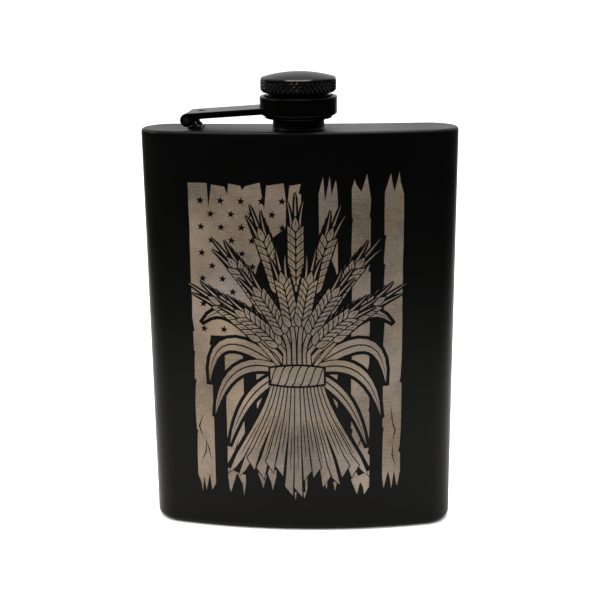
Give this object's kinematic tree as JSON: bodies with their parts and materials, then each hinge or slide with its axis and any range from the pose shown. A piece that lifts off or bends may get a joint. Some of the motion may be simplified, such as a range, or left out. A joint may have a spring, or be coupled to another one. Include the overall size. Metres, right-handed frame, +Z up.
{
  "type": "hip flask",
  "caption": "Curved pocket hip flask with a knurled screw cap kept on a hinged arm.",
  "frame": {"origin": "middle of the flask's overall footprint, on the face it stands on", "axes": "+X across the width towards the side away from the cap's hinge, +Z up through the cap, -Y out of the convex front"},
  "size_m": [0.098, 0.0244, 0.1475],
  "materials": {
    "black_coat": "fine matte powder coat",
    "black_cap": "satin black oxide",
    "bare_steel": "brushed",
    "seal": "soft off-white"
  },
  "bodies": {
    "flask": {"body_wall": "black_coat", "top_plate": "black_coat", "bottom_plate": "black_coat", "neck": "black_coat", "hinge_bracket": "bare_steel"},
    "arm": {"cap_arm": "black_coat", "hinge_pin": "black_coat"},
    "cap": {"cap_head": "black_cap", "cap_sleeve": "black_cap", "retaining_ring": "black_cap", "cap_liner": "seal"}
  },
  "joints": [
    {"name": "arm_hinge", "type": "hinge", "parent": "flask", "child": "arm", "pos_m": [-0.0334, 0.00187, 0.13338], "axis": [-0.067, -0.9978, 0], "range_deg": [0, 178]},
    {"name": "cap_spin", "type": "hinge", "parent": "arm", "child": "cap", "pos_m": [0, -0.00038, 0.1419], "axis": [0, 0, 1], "continuous": true}
  ]
}
